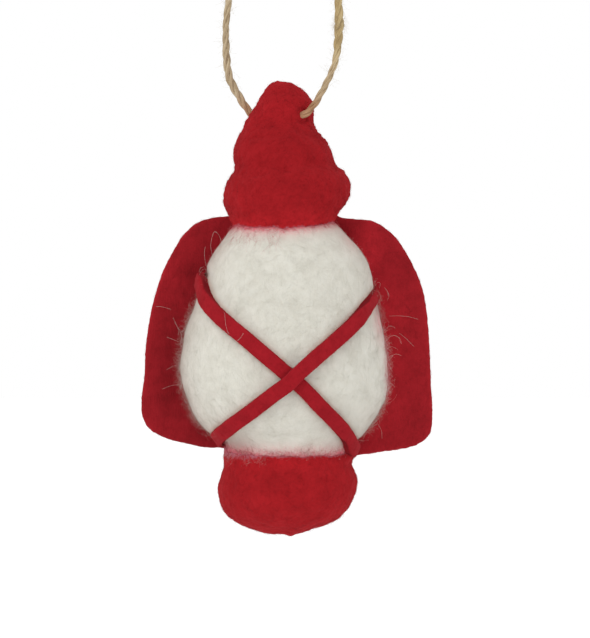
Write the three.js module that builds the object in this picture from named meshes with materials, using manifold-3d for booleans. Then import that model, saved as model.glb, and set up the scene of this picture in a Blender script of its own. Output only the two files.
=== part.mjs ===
import * as THREE from 'three';
import { mergeVertices } from 'three/addons/utils/BufferGeometryUtils.js';
import Module from 'manifold-3d';

// A small hanging lantern of wool felt: cap, globe and base are needle-felted lumps, the frame behind them
// and the two crossed guard strips are cut felt, and it hangs on a loop of jute twine.
// Millimetres. The origin is the hanging point under the knot, +X is right, +Y is back and +Z is up.

// Driving dimensions
const BORE_DROP = 77.8; // from the hanging point down to the hole through the cap
const FELT_GAP = 0.3; // between pieces that touch
const WIDEST_BACK = 2.4; // from the hanging line back to the plane where the lumps are widest

const BASE_WIDTH = 39.2;
const BASE_HEIGHT = 22.5;
const BASE_FRONT = 18.5; // how far the base stands out in front of the widest plane
const BASE_BACK = 13;

const GLOBE_WIDTH = 58.5;
const GLOBE_HEIGHT = 73.5;
const GLOBE_DEPTH = 39; // from the front of the globe back to the frame panel
const GLOBE_BACK = 15; // how far its back would reach behind the widest plane without the panel
const GLOBE_IN_BASE = 5; // how deep the globe is seated in the base
const GLOBE_IN_CAP = 4.5;

const CAP_WIDTH = 36.2;
const CAP_HEIGHT = 40.7;
const CAP_FRONT = 16.5;
const CAP_BACK = 13;

const PANEL_WIDTH = 83.2;
const PANEL_THICKNESS = 3;
const PANEL_BEHIND_BASE = 4.7; // how far the panel reaches down behind the base
const PANEL_BEHIND_CAP = 7.1;

const STRIP_WIDTH = 4.2;
const STRIP_THICKNESS = 2;
const STRIP_SOFTENING = 0.4; // the cut edges of a strip are blunted by this much
const CROSSING_REACH = 3; // the upper strip is fully raised this far either side of the crossing
const CROSSING_FALL = 6; // and comes down again over this length

const TWINE_DIAMETER = 2;
const BORE_ABOVE_EDGE = 30.7; // from the lower edge of the cap up to the hole
const BORE_TURN = THREE.MathUtils.degToRad(38); // the hole runs from the back left to the front right
const STRETCH_LEFT = 9.6; // the straight stretch of twine in the cap, from the hanging line to its ends
const STRETCH_RIGHT = 3.6;
const DIMPLE_RADIUS = 2.6; // the wool is pulled in where the twine leaves the cap
const DIMPLE_LEFT = 11; // from the hanging line to the middle of each dimple
const DIMPLE_RIGHT = 6;

const KNOT_WIDTH = 5.2;
const KNOT_DEPTH = 4.2;
const KNOT_HEIGHT = 5;
const KNOT_ABOVE_HANG = 1.2;
const TAIL_LENGTH = 8; // twine ends left above the knot
const TAIL_SPLAY = 3;

// How finely the felted lumps and the strips are divided
const BASE_RINGS = 26;
const BASE_SIDES = 36;
const GLOBE_RINGS = 34;
const GLOBE_SIDES = 40;
const CAP_RINGS = 36;
const CAP_SIDES = 36;
const KNOT_RINGS = 14;
const KNOT_SIDES = 18;
const STRIP_STATIONS = 48;
const PANEL_CORNERS = 96;
const HALVINGS = 20; // how often a search along an outline narrows its range

// Heights and planes that follow from the dimensions
const globeFrontShare = 0.6923; // of the globe's depth, in front of the widest plane
const capBottom = -BORE_DROP - BORE_ABOVE_EDGE;
const globeTop = capBottom + GLOBE_IN_CAP;
const globeBottom = globeTop - GLOBE_HEIGHT;
const baseTop = globeBottom + GLOBE_IN_BASE;
const baseBottom = baseTop - BASE_HEIGHT;
const panelBottom = baseTop - PANEL_BEHIND_BASE;
const panelTop = capBottom + PANEL_BEHIND_CAP;
const globeFront = GLOBE_DEPTH * globeFrontShare;
const panelFrontY = WIDEST_BACK + GLOBE_DEPTH - globeFront;
const lumpBackY = panelFrontY - FELT_GAP;
const boreAxis = new THREE.Vector3(Math.cos(BORE_TURN), -Math.sin(BORE_TURN), 0);

// Outlines of the lumps from the bottom up: height, left reach and right reach at that height, as shares of
// the lump's height and half width
const baseShares = [
  [0, -0.05, 0.05],
  [0.006, 0.3, 0.2],
  [0.03, 0.42, 0.32],
  [0.09, 0.62, 0.51],
  [0.175, 0.8, 0.72],
  [0.27, 0.91, 0.84],
  [0.4, 0.975, 0.95],
  [0.56, 0.983, 1.01],
  [0.67, 0.965, 1.012],
  [0.8, 0.915, 0.955],
  [0.91, 0.86, 0.885],
  [0.975, 0.835, 0.845],
  [1, 0.7, 0.7],
  [1, 0, 0],
];
const globeShares = [
  [0, 0, 0],
  [0.006, 0.24, 0.24],
  [0.025, 0.43, 0.43],
  [0.063, 0.585, 0.62],
  [0.109, 0.67, 0.69],
  [0.155, 0.775, 0.765],
  [0.205, 0.885, 0.85],
  [0.273, 0.965, 0.945],
  [0.336, 1.008, 0.974],
  [0.395, 1.024, 0.976],
  [0.48, 1.003, 0.956],
  [0.577, 0.95, 0.905],
  [0.67, 0.862, 0.85],
  [0.756, 0.795, 0.815],
  [0.835, 0.712, 0.73],
  [0.892, 0.61, 0.605],
  [0.945, 0.506, 0.476],
  [0.981, 0.36, 0.335],
  [0.997, 0.18, 0.16],
  [1, 0, 0],
];
const capShares = [
  [0, 0, 0],
  [0.004, 0.5, 0.46],
  [0.022, 0.86, 0.8],
  [0.075, 0.925, 0.85],
  [0.15, 1, 0.935],
  [0.24, 0.978, 0.994],
  [0.31, 0.92, 0.975],
  [0.37, 0.822, 0.88],
  [0.42, 0.815, 0.765],
  [0.475, 0.845, 0.73],
  [0.54, 0.835, 0.68],
  [0.605, 0.77, 0.575],
  [0.67, 0.695, 0.445],
  [0.75, 0.605, 0.398],
  [0.85, 0.465, 0.403],
  [0.915, 0.395, 0.315],
  [0.967, 0.3, 0.185],
  [0.993, 0.19, 0.03],
  [1, 0.09, -0.09],
];
const knotShares = [
  [0, 0, 0],
  [0.02, 0.45, 0.45],
  [0.16, 0.86, 0.8],
  [0.34, 1, 0.92],
  [0.5, 0.84, 0.84],
  [0.66, 0.92, 1],
  [0.84, 0.8, 0.86],
  [0.98, 0.45, 0.45],
  [1, 0, 0],
];

// The panel's cut outline, clockwise from the top: across as shares of its half width, up as shares of its
// height
const panelShares = [
  [0, 1],
  [0.2, 0.985],
  [0.37, 0.943],
  [0.504, 0.936],
  [0.6, 0.928],
  [0.741, 0.871],
  [0.819, 0.811],
  [0.883, 0.741],
  [0.939, 0.65],
  [0.968, 0.533],
  [0.985, 0.33],
  [0.998, 0.185],
  [0.985, 0.132],
  [0.934, 0.1],
  [0.85, 0.078],
  [0.697, 0.063],
  [0.533, 0.05],
  [0.42, 0.045],
  [0.22, 0.012],
  [0, 0],
  [-0.22, 0.02],
  [-0.423, 0.0725],
  [-0.572, 0.0765],
  [-0.721, 0.095],
  [-0.85, 0.115],
  [-0.935, 0.14],
  [-0.985, 0.178],
  [-1, 0.24],
  [-0.983, 0.33],
  [-0.964, 0.49],
  [-0.91, 0.642],
  [-0.866, 0.7235],
  [-0.802, 0.797],
  [-0.716, 0.875],
  [-0.606, 0.928],
  [-0.5, 0.944],
  [-0.38, 0.95],
  [-0.2, 0.985],
];

// Where each guard strip runs on the globe: degrees round from its front, to the right, and the height as a
// share of the globe's
const stripUnderShares = [
  [-98, 0.73],
  [-88, 0.724],
  [-73, 0.706],
  [-57.8, 0.65],
  [-40.2, 0.588],
  [-25.2, 0.526],
  [-12, 0.456],
  [0.4, 0.384],
  [8, 0.336],
  [18.6, 0.266],
  [34.5, 0.194],
  [50.5, 0.138],
  [68, 0.095],
  [86, 0.082],
  [98, 0.08],
];
const stripOverShares = [
  [98, 0.68],
  [86, 0.672],
  [67.6, 0.648],
  [48.9, 0.588],
  [35, 0.528],
  [22, 0.465],
  [7.8, 0.386],
  [-0.1, 0.338],
  [-21, 0.237],
  [-39, 0.182],
  [-56, 0.148],
  [-72, 0.127],
  [-86, 0.117],
  [-98, 0.114],
];
const crossingShares = [3.7, 0.362];

// The free stretches of twine, from the cap up to the knot
const leftRoute = [
  [-7.8, 6.1, -77.8],
  [-8.7, 6.8, -77.65],
  [-9.6, 7.45, -77.1],
  [-10.7, 8.15, -75.9],
  [-12.35, 9, -73.55],
  [-14, 9.5, -70.9],
  [-15.9, 9.6, -67.5],
  [-16.75, 9.3, -64.4],
  [-17.2, 8.8, -60.5],
  [-17.3, 8, -56.5],
  [-17.35, 7.3, -52.5],
  [-17, 6.6, -48.6],
  [-16.5, 5.9, -44.5],
  [-15.4, 4.9, -38],
  [-13.4, 3.8, -30],
  [-10.7, 2.7, -22.3],
  [-7.5, 1.7, -14.8],
  [-4.4, 0.9, -8],
  [-2.1, 0.3, -2.8],
  [-1.2, 0, -0.2],
  [-1.15, 0, 0.9],
];
const rightRoute = [
  [3.1, -2.4, -77.8],
  [3.9, -3.05, -77.75],
  [4.8, -3.7, -77.5],
  [5.8, -4.3, -76.85],
  [6.85, -4.8, -75.75],
  [8.2, -5.2, -73.9],
  [10.05, -5.5, -70.75],
  [11.65, -5.6, -67.55],
  [13, -5.5, -64.3],
  [13.8, -5.3, -61.4],
  [14.35, -4.7, -56.4],
  [14.6, -4.2, -52.3],
  [14.5, -3.7, -48.3],
  [14.35, -3.3, -44.5],
  [13.6, -2.8, -38],
  [12, -2.2, -30],
  [9.7, -1.6, -22.3],
  [6.9, -1, -14.8],
  [4.1, -0.5, -8],
  [2.1, -0.2, -2.8],
  [1.2, 0, -0.2],
  [1.15, 0, 0.9],
];

const wasm = await Module();
wasm.setup();

function solidOf(geometry) {
  const bare = geometry.clone();
  bare.deleteAttribute('normal');
  bare.deleteAttribute('uv');
  const merged = mergeVertices(bare);
  return new wasm.Manifold(new wasm.Mesh({
    numProp: 3,
    vertProperties: merged.attributes.position.array,
    triVerts: new Uint32Array(merged.index.array),
  }));
}

function geometryOf(solid) {
  const { vertProperties, triVerts } = solid.getMesh();
  const geometry = new THREE.BufferGeometry();
  geometry.setAttribute('position', new THREE.BufferAttribute(new Float32Array(vertProperties), 3));
  geometry.setIndex(new THREE.BufferAttribute(new Uint32Array(triVerts), 1));
  geometry.computeVertexNormals();
  return geometry;
}

// A closed skin over rings of points, each end drawn together to one point
function skin(rings, firstPoint, lastPoint) {
  const sides = rings[0].length;
  const points = [firstPoint, ...rings.flat(), lastPoint];
  const last = points.length - 1;
  const at = (ring, side) => 1 + ring * sides + (side % sides);
  const faces = [];
  for (let side = 0; side < sides; side++) {
    faces.push(0, at(0, side + 1), at(0, side));
    for (let ring = 0; ring < rings.length - 1; ring++) {
      faces.push(at(ring, side), at(ring, side + 1), at(ring + 1, side + 1));
      faces.push(at(ring, side), at(ring + 1, side + 1), at(ring + 1, side));
    }
    faces.push(last, at(rings.length - 1, side), at(rings.length - 1, side + 1));
  }
  const geometry = new THREE.BufferGeometry().setFromPoints(points);
  geometry.setIndex(faces);
  geometry.computeVertexNormals();
  return geometry;
}

// A felted lump: its size, where its widest plane is and how it swells and tapers
function makeLump(width, height, front, back, bottom, middleY, shares) {
  const rows = shares.map(([up, left, right]) => new THREE.Vector3(up, left, right));
  const outline = new THREE.CatmullRomCurve3(rows, false, 'catmullrom', 0.5);
  return { halfWidth: width / 2, height, front, back, bottom, middleY, outline };
}

// The point of a lump at a place along its outline and an angle round from its front, with the lump grown
// all round by an allowance
function lumpPoint(lump, along, angle, allowance = 0) {
  const { x: up, y: left, z: right } = lump.outline.getPoint(along);
  const share = (left + right) / 2;
  const depth = Math.cos(angle) > 0 ? lump.front : lump.back;
  const grown = share > 0 ? allowance : 0;
  const centreX = ((right - left) / 2) * lump.halfWidth;
  return new THREE.Vector3(
    centreX + (share * lump.halfWidth + grown) * Math.sin(angle),
    Math.min(lump.middleY - (share * depth + grown) * Math.cos(angle), lumpBackY + allowance),
    lump.bottom - allowance + up * (lump.height + 2 * allowance),
  );
}

function lumpGeometry(lump, ringCount, sides, allowance = 0) {
  const rings = [];
  for (let ring = 1; ring < ringCount; ring++) {
    const points = [];
    for (let side = 0; side < sides; side++) {
      points.push(lumpPoint(lump, ring / ringCount, (side / sides) * 2 * Math.PI, allowance));
    }
    rings.push(points);
  }
  return skin(rings, lumpPoint(lump, 0, 0, allowance), lumpPoint(lump, 1, 0, allowance));
}

// The place along a lump's outline that lies at a share of its height
function alongAtHeight(lump, share) {
  let low = 0;
  let high = 1;
  for (let halving = 0; halving < HALVINGS; halving++) {
    const middle = (low + high) / 2;
    if (lump.outline.getPoint(middle).x < share) low = middle;
    else high = middle;
  }
  return (low + high) / 2;
}

const baseLump = makeLump(
  BASE_WIDTH, BASE_HEIGHT, BASE_FRONT, BASE_BACK, baseBottom, WIDEST_BACK, baseShares);
const globeLump = makeLump(
  GLOBE_WIDTH, GLOBE_HEIGHT, globeFront, GLOBE_BACK, globeBottom, WIDEST_BACK, globeShares);
const capLump = makeLump(
  CAP_WIDTH, CAP_HEIGHT, CAP_FRONT, CAP_BACK, capBottom, WIDEST_BACK, capShares);

function globe() {
  return lumpGeometry(globeLump, GLOBE_RINGS, GLOBE_SIDES);
}

// The globe with the gap round it, which the cap and the base are hollowed by
function globeSeat() {
  return solidOf(lumpGeometry(globeLump, GLOBE_RINGS, GLOBE_SIDES, FELT_GAP));
}

function base() {
  return geometryOf(solidOf(lumpGeometry(baseLump, BASE_RINGS, BASE_SIDES)).subtract(globeSeat()));
}

function borePoint(along) {
  return boreAxis.clone().multiplyScalar(along).setZ(-BORE_DROP);
}

function rod(radius, from, to, sides) {
  const start = borePoint(from);
  const end = borePoint(to);
  const geometry = new THREE.CylinderGeometry(radius, radius, start.distanceTo(end), sides);
  geometry.applyQuaternion(new THREE.Quaternion().setFromUnitVectors(new THREE.Vector3(0, 1, 0), boreAxis));
  return geometry.translate(...start.add(end).divideScalar(2));
}

function dimple(along) {
  return solidOf(new THREE.SphereGeometry(DIMPLE_RADIUS, 16, 10).translate(...borePoint(along)));
}

function cap() {
  return geometryOf(
    solidOf(lumpGeometry(capLump, CAP_RINGS, CAP_SIDES))
      .subtract(globeSeat())
      .subtract(solidOf(rod(TWINE_DIAMETER / 2 + FELT_GAP, -DIMPLE_LEFT, DIMPLE_RIGHT, 16)))
      .subtract(dimple(-DIMPLE_LEFT))
      .subtract(dimple(DIMPLE_RIGHT)),
  );
}

function framePanel() {
  const height = panelTop - panelBottom;
  const cut = panelShares.map(([across, up]) => new THREE.Vector3(across * PANEL_WIDTH / 2, up * height, 0));
  const outline = new THREE.CatmullRomCurve3(cut, true, 'centripetal').getSpacedPoints(PANEL_CORNERS).slice(1);
  const shape = new THREE.Shape(outline.map(({ x, y }) => new THREE.Vector2(x, y)));
  const geometry = new THREE.ExtrudeGeometry(shape, { depth: PANEL_THICKNESS, bevelEnabled: false });
  return geometry.rotateX(Math.PI / 2).translate(0, panelFrontY + PANEL_THICKNESS, panelBottom);
}

// The outward direction of the globe's surface
function globeNormal(along, angle) {
  const step = 1e-3;
  const round = lumpPoint(globeLump, along, angle + step).sub(lumpPoint(globeLump, along, angle - step));
  const up = lumpPoint(globeLump, along + step, angle).sub(lumpPoint(globeLump, along - step, angle));
  return round.cross(up).normalize();
}

// The middle of a strip and its outward direction where it lies on the globe, raised by a lift
function onGlobe(degrees, heightShare, lift) {
  const along = alongAtHeight(globeLump, heightShare);
  const angle = THREE.MathUtils.degToRad(degrees);
  const normal = globeNormal(along, angle);
  const middle = lumpPoint(globeLump, along, angle);
  return { middle: middle.addScaledVector(normal, FELT_GAP + STRIP_THICKNESS / 2 + lift), normal };
}

// The stations of a strip: over the globe, then from its sides straight back to the panel
function stripStations(shares, raised) {
  const route = new THREE.CatmullRomCurve3(
    shares.map(([degrees, up]) => new THREE.Vector3(degrees, up, 0)), false, 'catmullrom', 0.5);
  const crossing = onGlobe(...crossingShares, 0).middle;
  const stations = route.getPoints(STRIP_STATIONS).map(({ x: degrees, y: up }) => {
    const away = onGlobe(degrees, up, 0).middle.distanceTo(crossing);
    const fall = THREE.MathUtils.smoothstep(away, CROSSING_REACH, CROSSING_REACH + CROSSING_FALL);
    return onGlobe(degrees, up, raised * (1 - fall));
  });
  const toPanel = ({ middle, normal }, share) => ({
    middle: middle.clone().setY(THREE.MathUtils.lerp(middle.y, panelFrontY - FELT_GAP, share)),
    normal: normal.clone().setY(0).normalize(),
  });
  const first = stations[0];
  const last = stations[stations.length - 1];
  return [toPanel(first, 1), toPanel(first, 0.5), ...stations, toPanel(last, 0.5), toPanel(last, 1)];
}

function strip(shares, raised) {
  const stations = stripStations(shares, raised);
  const [high, wide] = [STRIP_THICKNESS / 2, STRIP_WIDTH / 2];
  const [low, narrow] = [high - STRIP_SOFTENING, wide - STRIP_SOFTENING];
  const section = [
    [high, -narrow], [high, narrow], [low, wide], [-low, wide],
    [-high, narrow], [-high, -narrow], [-low, -wide], [low, -wide],
  ];
  const rings = stations.map(({ middle, normal }, index) => {
    const before = stations[Math.max(index - 1, 0)].middle;
    const after = stations[Math.min(index + 1, stations.length - 1)].middle;
    const forward = after.clone().sub(before).normalize();
    const across = forward.clone().cross(normal).normalize();
    const outward = across.clone().cross(forward);
    return section.map(([out, side]) => (
      middle.clone().addScaledVector(outward, out).addScaledVector(across, side)));
  });
  return skin(rings, stations[0].middle, stations[stations.length - 1].middle);
}

function roundShape(radius, sides) {
  const corner = (side) => (side / sides) * 2 * Math.PI;
  return new THREE.Shape(Array.from({ length: sides }, (_, side) => (
    new THREE.Vector2(radius * Math.cos(corner(side)), radius * Math.sin(corner(side))))));
}

function twine(points, steps) {
  const extrudePath = new THREE.CatmullRomCurve3(points.map((point) => new THREE.Vector3(...point)));
  return new THREE.ExtrudeGeometry(roundShape(TWINE_DIAMETER / 2, 8), { extrudePath, steps });
}

function twineInCap() {
  return rod(TWINE_DIAMETER / 2, -STRETCH_LEFT, STRETCH_RIGHT, 8);
}

function twineKnot() {
  const lump = makeLump(
    KNOT_WIDTH, KNOT_HEIGHT, KNOT_DEPTH / 2, KNOT_DEPTH / 2, KNOT_ABOVE_HANG, 0, knotShares);
  const knotMiddle = KNOT_ABOVE_HANG + KNOT_HEIGHT / 2;
  const knotTop = KNOT_ABOVE_HANG + KNOT_HEIGHT;
  const tail = (way) => solidOf(twine([
    [way * TWINE_DIAMETER / 2, 0, knotMiddle],
    [way * (TWINE_DIAMETER + TAIL_SPLAY) / 2, 0, knotTop + TAIL_LENGTH / 2],
    [way * (TWINE_DIAMETER / 2 + TAIL_SPLAY), 0, knotTop + TAIL_LENGTH],
  ], 5));
  return geometryOf(solidOf(lumpGeometry(lump, KNOT_RINGS, KNOT_SIDES)).add(tail(-1)).add(tail(1)));
}

const redWool = { color: '#a31b26', roughness: 0.95, metalness: 0 };
const whiteWool = { color: '#e2ddd0', roughness: 0.95, metalness: 0 };
const redSheet = { color: '#a01c25', roughness: 0.92, metalness: 0 };
const jute = { color: '#b7975f', roughness: 0.9, metalness: 0 };

const crossingLift = STRIP_THICKNESS + FELT_GAP;
const pieces = [
  ['base', base(), redWool],
  ['globe', globe(), whiteWool],
  ['cap', cap(), redWool],
  ['frame_panel', framePanel(), redSheet],
  ['guard_strip_under', strip(stripUnderShares, 0), redSheet],
  ['guard_strip_over', strip(stripOverShares, crossingLift), redSheet],
  ['twine_in_cap', twineInCap(), jute],
  ['twine_left', twine(leftRoute, 28), jute],
  ['twine_right', twine(rightRoute, 28), jute],
  ['twine_knot', twineKnot(), jute],
];

const lantern = new THREE.Group();
for (const [name, geometry, finish] of pieces) {
  const mesh = new THREE.Mesh(geometry, new THREE.MeshStandardMaterial(finish));
  mesh.name = name;
  lantern.add(mesh);
}

export default lantern;
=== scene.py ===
import math

import bmesh
import bpy
import numpy as np
from mathutils import Matrix, Vector
from mathutils.bvhtree import BVHTree
from mathutils.kdtree import KDTree


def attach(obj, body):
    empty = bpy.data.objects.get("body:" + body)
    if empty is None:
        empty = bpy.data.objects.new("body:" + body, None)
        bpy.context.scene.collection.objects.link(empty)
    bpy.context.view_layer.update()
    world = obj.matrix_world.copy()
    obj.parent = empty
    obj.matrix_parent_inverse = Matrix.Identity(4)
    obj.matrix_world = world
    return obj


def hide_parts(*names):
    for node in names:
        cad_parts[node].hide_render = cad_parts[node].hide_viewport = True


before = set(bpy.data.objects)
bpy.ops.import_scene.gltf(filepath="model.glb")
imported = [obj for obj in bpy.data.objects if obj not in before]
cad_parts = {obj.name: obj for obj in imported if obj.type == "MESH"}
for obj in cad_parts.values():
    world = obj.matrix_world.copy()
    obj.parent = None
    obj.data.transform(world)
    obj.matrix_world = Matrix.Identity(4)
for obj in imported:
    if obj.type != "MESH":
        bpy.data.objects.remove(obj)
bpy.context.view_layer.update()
scene = bpy.context.scene
MM = 0.001

# The camera stands level with the middle of the lantern, nine tenths of a metre in front of it. Its picture
# is as high as the lantern and the lower part of the twine loop, with white paper all round.
CAMERA_DISTANCE = 0.9
CAMERA_SIDE = 0.00225
CAMERA_HEIGHT = -0.1347
PICTURE_HEIGHT = 0.1793
SENSOR = 36

camera_data = bpy.data.cameras.new("camera")
camera_data.sensor_width = SENSOR
camera_data.lens = SENSOR * CAMERA_DISTANCE / PICTURE_HEIGHT
camera = bpy.data.objects.new("camera", camera_data)
camera.location = (CAMERA_SIDE, -CAMERA_DISTANCE, CAMERA_HEIGHT)
camera.rotation_euler = (math.radians(90), 0, 0)
scene.collection.objects.link(camera)
scene.camera = camera

# The globe is one large lump of white wool, needle-felted until it is firm, and the largest piece of the
# lantern. Loose fibres lie on it in every direction, and longer ones stand off where it turns to the sides.
GLOBE_VOXEL = 0.42 * MM
GLOBE_TONES = ((0.531, 0.514, 0.45), (0.591, 0.575, 0.511), (0.643, 0.628, 0.564))
WHITE_FIBRE_TONES = ((0.566, 0.55, 0.484), (0.686, 0.672, 0.61))
# Painted shade with a red reflection of the wings, laid over the globe's rim.
RIM_SHADE_TONE = (0.3, 0.2, 0.17)
RIM_SHADE_MOST = 0.8
# A tan tint that lies on the globe along both sides of the strips.
STRIP_SIDE_TINGE = (0.52, 0.33, 0.25)
RED_TINGE = (0.68, 0.11, 0.16)
STREAK = 0.4
DENT_FALL = 1.5
WISP_RISE = 2.5
PLAIN_INLETS = ("joints", "hug", "combed", "combed_out", "clumped", "warp")
GLOBE_DENTS = (
    (-19.3, -170, 3, 3.2, 1.5), (19.3, -171, 3, 3.4, 1.2), (27, -127, 2, 3, 0.4), (-23.8, -122.2, 2.2, 2.2, 1.2),
)


def fed(tree, kind, feeds, outlet=0, **settings):
    """An outlet of a new node, which is set up and fed with values or with other outlets."""
    made = tree.nodes.new(kind)
    for name, value in settings.items():
        setattr(made, name, value)
    for inlet, value in feeds.items():
        if isinstance(value, bpy.types.NodeSocket):
            tree.links.new(value, made.inputs[inlet])
        else:
            made.inputs[inlet].default_value = value
    return made.outputs[outlet]


def sums(tree, operation, *terms):
    return fed(tree, "ShaderNodeMath", dict(enumerate(terms)), operation=operation)


def vectors(tree, operation, *terms, by=None):
    feeds = dict(enumerate(terms))
    if by is not None:
        feeds["Scale"] = by
    return fed(tree, "ShaderNodeVectorMath", feeds, operation=operation)


def noise(tree, place, size, detail=2.0, rough=0.5):
    """Clouds of a size in metres, from 0 to 1, with their middle at a half."""
    return fed(tree, "ShaderNodeTexNoise", {"Vector": place, "Scale": 1 / size, "Detail": detail, "Roughness": rough})


def spread(tree, value, low, high, to_low=0.0, to_high=1.0, **settings):
    """A value moved from one range to another."""
    return fed(tree, "ShaderNodeMapRange", {
        "Value": value, "From Min": low, "From Max": high, "To Min": to_low, "To Max": to_high}, **settings)


def tube(tree, curve, sides, thickness):
    """Curves as closed tubes with so many sides, and as thick as is given along them."""
    return fed(tree, "GeometryNodeCurveToMesh", {
        "Curve": fed(tree, "GeometryNodeSetCurveRadius", {"Curve": curve, "Radius": 1.0}),
        "Profile Curve": fed(tree, "GeometryNodeCurvePrimitiveCircle", {"Resolution": sides, "Radius": 1.0}),
        "Scale": thickness, "Fill Caps": True})


def new_maker(name, inlets):
    """A tree that makes geometry, with its inlets named and set, and what its inlets and outlet are."""
    tree = bpy.data.node_groups.new(name, "GeometryNodeTree")
    tree.interface.new_socket("Geometry", in_out="OUTPUT", socket_type="NodeSocketGeometry")
    for inlet, (kind, value) in inlets.items():
        socket = tree.interface.new_socket(inlet, in_out="INPUT", socket_type="NodeSocket" + kind)
        if value is not None:
            socket.default_value = value
    return tree, tree.nodes.new("NodeGroupInput").outputs, tree.nodes.new("NodeGroupOutput").inputs[0]


def end_maker(tree, shape, finish, outlet):
    """Ends a maker: what it made becomes real and gets its finish."""
    shape = fed(tree, "GeometryNodeRealizeInstances", {"Geometry": shape})
    tree.links.new(fed(tree, "GeometryNodeSetMaterial", {"Geometry": shape, "Material": finish}), outlet)


def plain_mesh(piece):
    """What a piece with its modifiers is, as a mesh of its own."""
    return bpy.data.meshes.new_from_object(piece.evaluated_get(bpy.context.evaluated_depsgraph_get()))


def in_metres(values):
    """A maker's values, with those that are lengths turned from millimetres into metres."""
    return {name: value if name in PLAIN_INLETS else value * MM for name, value in values.items()}


def made_by(tree, name, source, **values):
    """A new piece that a maker makes out of another piece's shape, with its lengths in metres."""
    worker = bpy.data.objects.new("worker", source.data)
    scene.collection.objects.link(worker)
    making = worker.modifiers.new("making", "NODES")
    making.node_group = tree
    for item in tree.interface.items_tree:
        if item.in_out == "INPUT" and item.name.replace(" ", "_").lower() in values:
            making[item.identifier] = values[item.name.replace(" ", "_").lower()]
    mesh = plain_mesh(worker)
    worker.modifiers.remove(making)
    bpy.data.objects.remove(worker)
    piece = bpy.data.objects.new(name, mesh)
    mesh.name = name
    scene.collection.objects.link(piece)
    return piece


def whole_skin(node, name, voxel, rounding, soften=1, plugs=()):
    """A closed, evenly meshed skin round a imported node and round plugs, its facets and edges rounded."""
    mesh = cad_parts[node].data.copy()
    mesh.materials.clear()
    joined = bmesh.new()
    joined.from_mesh(mesh)
    bmesh.ops.remove_doubles(joined, verts=joined.verts, dist=1e-6)
    for middle, radius in plugs:
        bmesh.ops.create_icosphere(joined, subdivisions=3, radius=radius, matrix=Matrix.Translation(middle))
    joined.to_mesh(mesh)
    joined.free()
    skin = bpy.data.objects.new(name, mesh)
    scene.collection.objects.link(skin)
    if soften:
        rounded = skin.modifiers.new("rounded", "SUBSURF")
        rounded.levels = rounded.render_levels = soften
    even = skin.modifiers.new("even", "REMESH")
    even.mode = "VOXEL"
    even.voxel_size = voxel
    even.use_smooth_shade = True
    smooth = skin.modifiers.new("smooth", "SMOOTH")
    smooth.iterations = rounding
    skin.data = plain_mesh(skin)
    skin.modifiers.clear()
    return skin


def felted(name, skin, finish, **sizes):
    """A felted piece made out of its plain skin, which is used up. Lengths are in millimetres."""
    piece = made_by(felting, name, skin, finish=finish, **in_metres(sizes))
    bpy.data.objects.remove(skin)
    return piece


def loose(piece, name, slot, finish, seed, per_square_metre, body="lantern", **sizes):
    """Loose fibres on a finished piece, that move with it. Lengths are in millimetres."""
    strewn = made_by(
        fibres, name, piece, lies_on=piece, per_square_metre=per_square_metre, seed=seed, finish=finish,
        **in_metres(sizes))
    fixed(strewn, body, slot)
    return strewn


def needled_in(skin, dents):
    """Dents a skin where the needle went in often: across, height, half width, half height and depth in mm."""
    count = len(skin.data.vertices)
    place, outward = np.empty(3 * count), np.empty(3 * count)
    skin.data.vertices.foreach_get("co", place)
    skin.data.vertices.foreach_get("normal", outward)
    place, outward = place.reshape(-1, 3), outward.reshape(-1, 3)
    for x, z, wide, high, deep in dents:
        off = ((place[:, 0] / MM - x) / wide) ** 2 + ((place[:, 2] / MM - z) / high) ** 2
        place -= outward * (deep * MM * np.exp(-DENT_FALL * off) * (outward[:, 1] < 0.5))[:, None]
    skin.data.vertices.foreach_set("co", place.ravel())


felting, given, made = new_maker("needle_felting", {
    "Geometry": ("Geometry", None),
    "Swell": ("Float", 0.0), "Swell Size": ("Float", 0.01),
    "Lump": ("Float", 0.0), "Lump Size": ("Float", 0.002),
    "Prick": ("Float", 0.0), "Prick Size": ("Float", 0.002),
    "Grain": ("Float", 0.0), "Grain Size": ("Float", 0.0006),
    "Warp": ("Vector", (0, 0, 0)), "Warp Size": ("Float", 0.04),
    "Finish": ("Material", None),
})

here = fed(felting, "GeometryNodeInputPosition", {})
outward = fed(felting, "GeometryNodeInputNormal", {})


def clouds(size, detail):
    """Clouds on the skin from -1 to 1, of a size that is fed in."""
    cloud = fed(felting, "ShaderNodeTexNoise", {
        "Vector": here, "Scale": sums(felting, "DIVIDE", 1.0, given[size]), "Detail": detail})
    return spread(felting, cloud, 0.25, 0.75, -1.0, clamp=False)


pits = fed(felting, "ShaderNodeTexVoronoi", {
    "Vector": here, "Scale": sums(felting, "DIVIDE", 1.0, given["Prick Size"])})
pits = spread(felting, pits, 0.0, 0.55, -1.0, 0.0, interpolation_type="SMOOTHSTEP")
pitted = sums(felting, "MULTIPLY", pits, sums(felting, "MAXIMUM", clouds("Swell Size", 1.0), 0.15))
rise = sums(felting, "MULTIPLY", clouds("Swell Size", 1.0), given["Swell"])
rise = sums(felting, "MULTIPLY_ADD", clouds("Lump Size", 2.0), given["Lump"], rise)
rise = sums(felting, "MULTIPLY_ADD", clouds("Grain Size", 2.0), given["Grain"], rise)
rise = sums(felting, "MULTIPLY_ADD", pitted, given["Prick"], rise)
bend = vectors(felting, "SCALE", given["Warp"], by=clouds("Warp Size", 0.0))
moved = vectors(felting, "ADD", vectors(felting, "SCALE", outward, by=rise), bend)
raised = fed(felting, "GeometryNodeSetPosition", {"Geometry": given["Geometry"], "Offset": moved})
end_maker(felting, raised, given["Finish"], made)

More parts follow.
